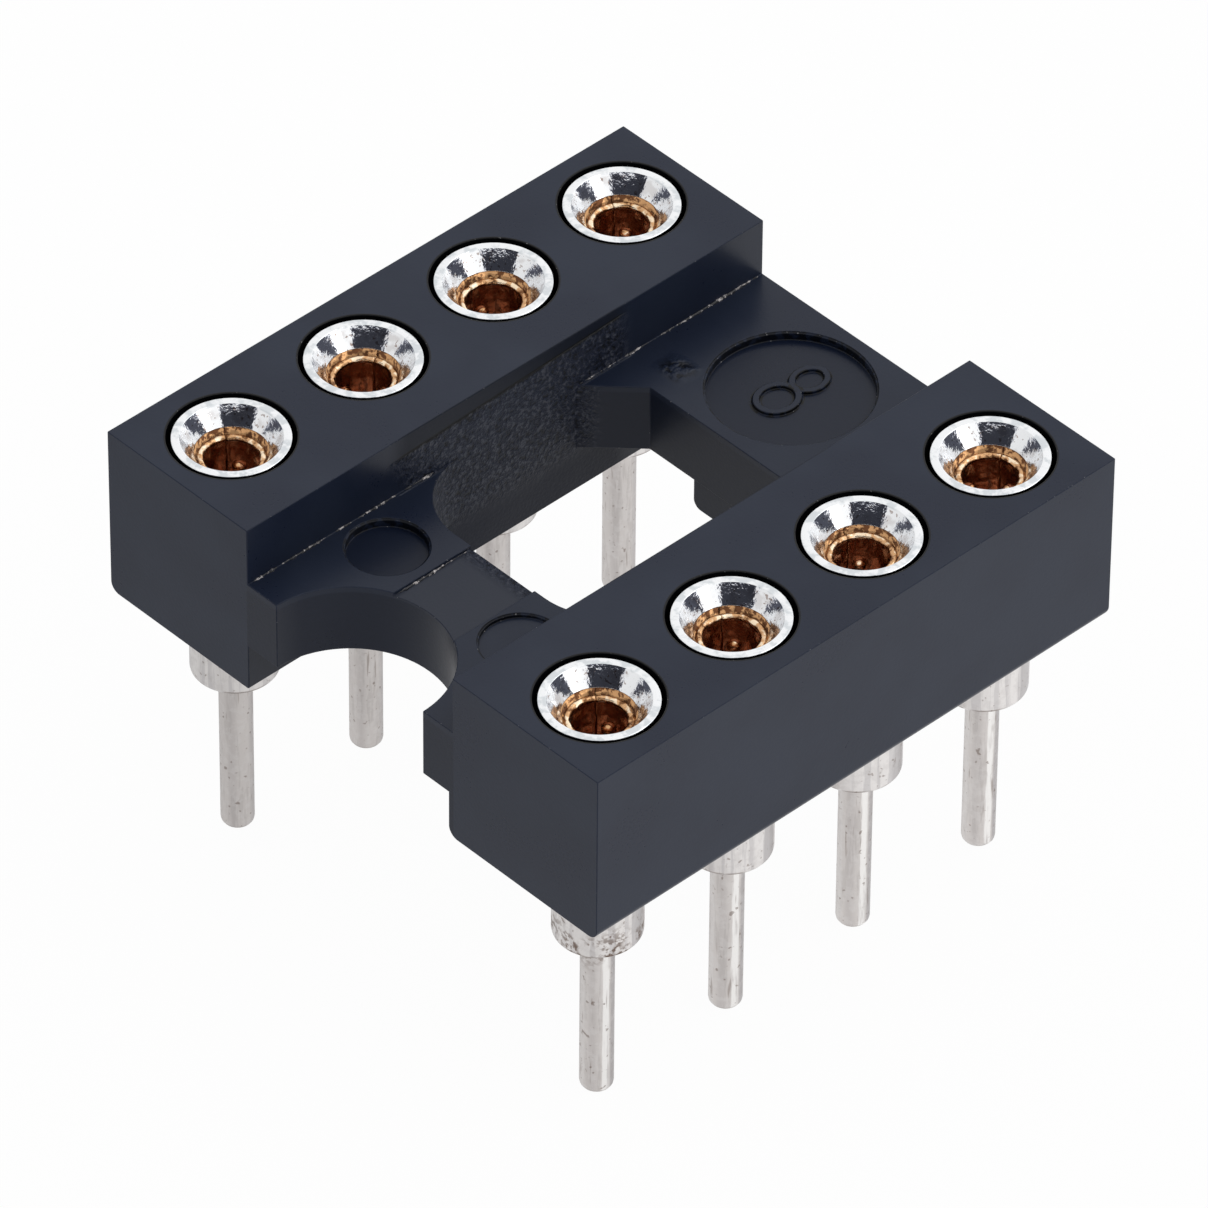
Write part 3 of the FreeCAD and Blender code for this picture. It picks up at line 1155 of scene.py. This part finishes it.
@dataclass
class Clip:
    """Gold spring clip: a split collar with a rolled lip and four fingers that close towards their tips."""

    mouth: float = MOUTH
    collar: float = 0.56
    lip_z: float = LIP_Z
    lip_radius: float = 0.0575
    flange: float = 0.543
    flange_edge: float = 0.003
    flange_foot: float = 0.035
    flange_neck: float = 0.02
    flange_z: float = 7.062
    collar_end: float = 6.15
    slot_top: float = 6.07
    tip: float = 4.95
    grip: float = 0.16
    tip_wall: float = 0.08
    fingers: int = 4
    slot_width: float = 0.14
    slack: float = 0.002
    split: float = 0.008
    split_turn: float = 25.0
    bead_z: float = 6.45
    bead: float = 0.105

    def edge_at(self, z: float, inside: bool) -> Point:
        """Gives a finger's inner or outer edge at a height.

        Args:
            z: the height.
            inside: whether it is the inner edge.

        Returns:
            The section's point (radius, height).
        """
        share = (self.collar_end - z) / (self.collar_end - self.tip)
        root, end = (self.mouth, self.grip) if inside else (self.collar - self.slack, self.grip + self.tip_wall)
        return root + (end - root) * share, z

    def build(self, number: int, place: Point, turn: float, material: bpy.types.Material,
              slot: str) -> bpy.types.Object:
        """Builds one clip, pressed in at its own turn, and seats it in place of its node.

        Args:
            number: the contact's number.
            place: its axis.
            turn: the azimuth of its first finger, in degrees.
            material: its material.
            slot: the record's material slot; not used.

        Returns:
            The object.
        """
        outer = self.collar - self.slack
        first = math.radians(turn)
        ring = [*arc((self.mouth + self.lip_radius, self.lip_z), self.lip_radius, 180, 20, 16),
                (self.flange - self.flange_edge, self.flange_z), (self.flange, self.flange_z),
                (self.flange, self.lip_z + self.flange_foot), (outer, self.lip_z + self.flange_neck),
                (outer, self.collar_end), self.edge_at(self.slot_top, False), self.edge_at(self.slot_top, True),
                (self.mouth, self.collar_end)]
        form = Form().sector(ring, first + math.radians(self.split_turn) + math.pi, math.tau, self.split, 96)
        finger = [self.edge_at(self.slot_top, False), self.edge_at(self.tip, False),
                  self.edge_at(self.tip, True), self.edge_at(self.slot_top, True)]
        ball = arc((0, self.bead_z), self.bead, -90, 90, 10)
        for index in range(self.fingers):
            middle = first + math.tau * index / self.fingers
            form.sector(finger, middle, math.tau / self.fingers, self.slot_width, 14)
            form.lathe([(0.0, ball[0][1])] + ball[1:-1] + [(0.0, ball[-1][1])], 16,
                       (self.mouth * math.cos(middle), self.mouth * math.sin(middle)))
        return finish_piece(form.object(f"clip_{number}"), material, f"contact_clip_{number}", place)


# Studio


@dataclass(frozen=True)
class DarkGap:
    """A dark stretch between the white screens round the part, seen in polished metal."""

    azimuth: float
    half_azimuth: float
    elevation: float
    half_elevation: float
    depth: float


@dataclass
class Studio:
    """White floor and surroundings, soft lamps and the camera."""

    camera_at: tuple[float, float, float] = (102.69, -97.90, 129.17)
    right: Colour = (0.68566019, 0.72789558, 0.00617558)
    down: Colour = (0.48398315, -0.44953073, -0.75078787)
    ahead: Colour = (-0.54371906, 0.51777423, -0.66051452)
    focal_pixels: float = 13181.15
    image_pixels: float = 1208.0
    sensor_width: float = 36.0
    surround: float = 0.82
    lean: float = 0.16
    gaps: tuple[DarkGap, ...] = (DarkGap(-57.5, 41.0, 29.0, 11.5, 0.962), DarkGap(47.0, 21.0, 12.0, 12.0, 0.93),
                                 DarkGap(-149.0, 17.0, 6.0, 11.0, 0.90))
    gap_blur: float = 2.0
    gap_tint: Colour = (0.90, 0.95, 1.25)
    floor_half_width: float = 3000.0
    floor_z: float = -0.001
    floor_tone: Colour = (0.95, 0.95, 0.95)

    def camera(self) -> None:
        """Places the camera at the photograph's viewing angle."""
        lens = bpy.data.cameras.new("camera")
        lens.sensor_width = self.sensor_width
        lens.lens = self.focal_pixels / self.image_pixels * self.sensor_width
        lens.clip_start, lens.clip_end = 0.01, 10.0
        made = bpy.data.objects.new("camera", lens)
        axes = Matrix((self.right, [-v for v in self.down], [-v for v in self.ahead])).transposed()
        made.matrix_world = Matrix.Translation(Vector(self.camera_at) * MM) @ axes.to_4x4()
        bpy.context.scene.collection.objects.link(made)
        bpy.context.scene.camera = made

    def sideways(self, x: Value, y: Value) -> Value:
        """Gives how far a direction or place lies to the photograph's right."""
        return x * self.right[0] + y * self.right[1]

    def surroundings(self) -> None:
        """Fills the world: white to the camera, and white with dark gaps in reflections."""
        world = bpy.data.worlds.new("surroundings")
        bpy.context.scene.world = world
        world.use_nodes = True
        recipe = Recipe(world.node_tree, "ShaderNodeOutputWorld")
        x, y, z = recipe.split(recipe.node("ShaderNodeTexCoord").outputs["Generated"])
        turn = y.angle_from(x) * (180 / math.pi)
        rise = z.angle_from(distance(x, y)) * (180 / math.pi)
        blur = self.gap_blur
        dark = total([abs(turn - gap.azimuth).ramp(gap.half_azimuth + blur, gap.half_azimuth - blur)
                      * abs(rise - gap.elevation).ramp(gap.half_elevation + blur, gap.half_elevation - blur)
                      * gap.depth for gap in self.gaps])
        shown, mirrored = recipe.rays()
        lean = self.sideways(x, y) * self.lean
        screens = (1.0 - dark) * (self.surround + mirrored * (1.0 - self.surround) + lean)
        strength = shown + (1.0 - shown) * screens
        colour = recipe.mix((1.0 - shown) * dark, WHITE, paint(self.gap_tint))
        recipe.surface(recipe.node("ShaderNodeBackground", None, {
            "Color": colour, "Strength": strength}).outputs[0])

    def floor(self) -> None:
        """Lays a wide white floor that keeps a faint shadow."""
        form = Form()
        half = self.floor_half_width
        corners = ((-half, -half), (half, -half), (half, half), (-half, half))
        form.bm.faces.new([form.bm.verts.new((x, y, self.floor_z)) for x, y in corners])
        made = form.object("floor")
        made.data.transform(Matrix.Scale(MM, 4))
        recipe, material = Recipe.material("white_floor")
        shown, mirrored = recipe.rays()
        x, y, _ = recipe.split(recipe.place())
        level = self.sideways(x, y).ramp(-16.0, 12.0) * 0.38 + 0.62
        lit = recipe.node("ShaderNodeBsdfDiffuse", None, {"Color": paint(self.floor_tone)}).outputs[0]
        white = recipe.node("ShaderNodeEmission", None, {
            "Color": WHITE, "Strength": shown + mirrored * level}).outputs[0]
        direct = shown * 0.965 + mirrored * 0.9
        recipe.surface(recipe.node("ShaderNodeMixShader", None, {0: direct, 1: lit, 2: white}).outputs[0])
        made.data.materials.append(material)

    def lamp(self, name: str, at: tuple[float, float, float], size: float, power: float) -> None:
        """Hangs a square soft lamp that faces the part.

        Args:
            name: the lamp's name.
            at: its place, in millimetres.
            size: its side, in millimetres.
            power: its power, in watts.
        """
        light = bpy.data.lights.new(name, "AREA")
        light.shape, light.size, light.energy = "SQUARE", size * MM, power
        made = bpy.data.objects.new(name, light)
        made.location = Vector(at) * MM
        made.rotation_euler = (Vector((0, 0, 5)) - Vector(at)).to_track_quat("-Z", "Y").to_euler()
        bpy.context.scene.collection.objects.link(made)

    def build(self) -> None:
        """Sets up the whole studio."""
        bpy.context.scene.view_settings.view_transform = "Standard"
        self.camera()
        self.surroundings()
        self.floor()
        self.lamp("key", (60, 130, 190), 130, 0.045)
        self.lamp("side", (165, 60, 75), 70, 0.020)


def main() -> None:
    """Builds the studio and every piece of the part, in order."""
    logging.basicConfig(level=logging.INFO, format="%(message)s")
    Studio().build()
    plastic, flash, tin, gold = MouldedPlastic(), MouldFlash(), TinPlate(), GoldPlate()
    grid = ContactGrid()
    Housing(grid).build(plastic.material(), plastic.slot)
    flash_material = flash.material()
    lines = (FlashLine("flash_left_near", -1, -4.95, -1.45, 11), FlashLine("flash_left_far", -1, 1.38, 5.00, 12),
             FlashLine("flash_right_near", 1, -4.95, -1.45, 13), FlashLine("flash_right_far", 1, 1.38, 5.00, 14),
             FlashLine("flash_panel", -1, -3.58, -2.20, 15, inner_x=0.60, level=6.30))
    for line in lines:
        line.build(flash_material, flash.slot)
    tin_material, gold_material = tin.material(), gold.material()
    turns = (118.0, 130.0, 139.0, 90.0, 128.0, 162.0, 91.0, 124.0)
    for number, (place, turn) in enumerate(zip(grid.places(), turns), start=1):
        Sleeve().build(number, place, tin_material, tin.slot)
        Clip().build(number, place, turn, gold_material, gold.slot)


if __name__ == "__main__":
    main()
